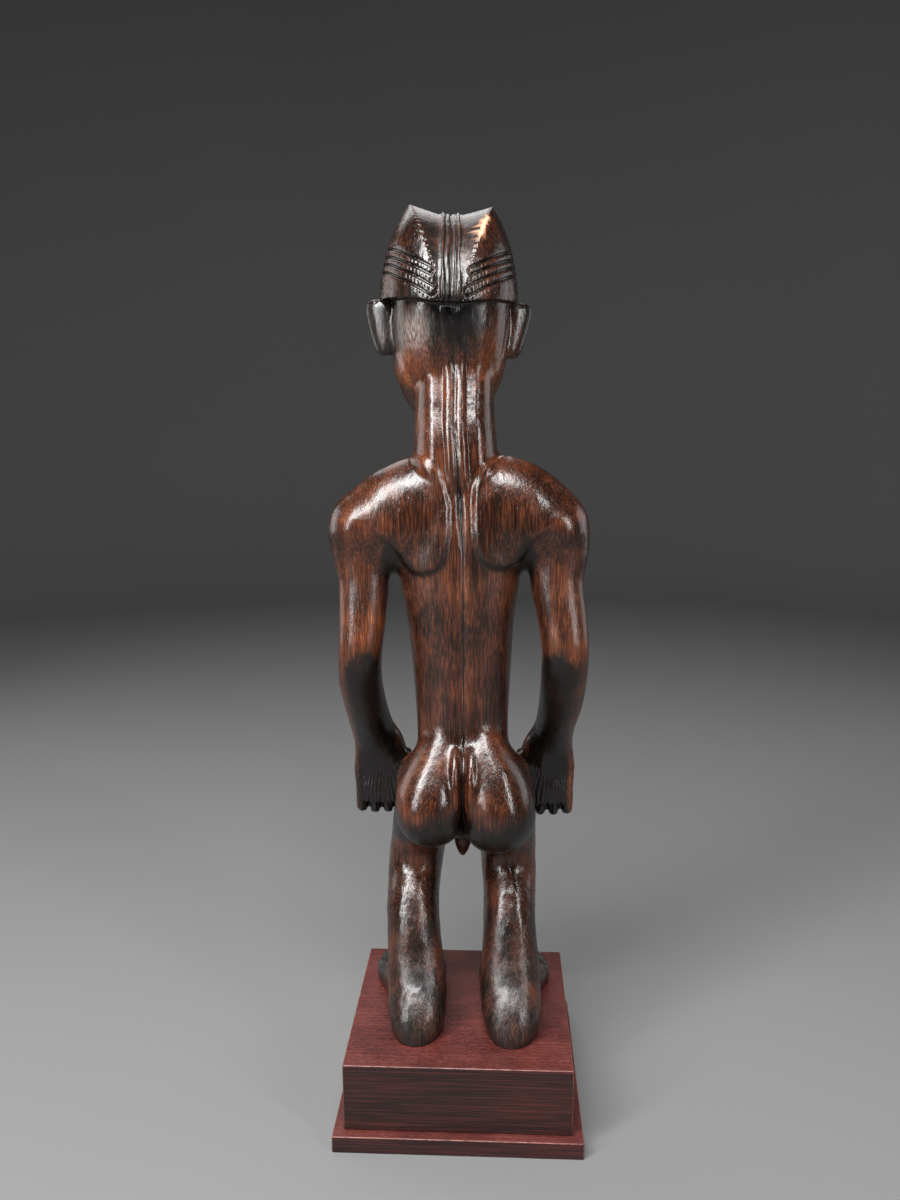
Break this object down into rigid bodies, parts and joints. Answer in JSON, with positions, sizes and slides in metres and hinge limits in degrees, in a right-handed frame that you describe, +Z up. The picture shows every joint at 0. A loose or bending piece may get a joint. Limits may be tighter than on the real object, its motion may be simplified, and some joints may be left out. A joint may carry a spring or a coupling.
{
  "type": "fang statue",
  "caption": "Carved dark wood standing figure with crested coiffure, bent knees and hands at the hips, on a plinth of a block and a foot board.",
  "frame": {"origin": "centre of the foot board's underside", "axes": "+Z up, the figure faces -Y, +X to the figure's own left"},
  "size_m": [0.2089, 0.1986, 0.734],
  "materials": {
    "carved_wood": "oiled and handled dark hardwood with a glossy old patina",
    "plinth_wood": "oxblood stained wood, satin, with worn edges"
  },
  "bodies": {
    "root": {"figure": "carved_wood", "plinth_block": "plinth_wood", "plinth_foot_board": "plinth_wood"}
  },
  "joints": []
}
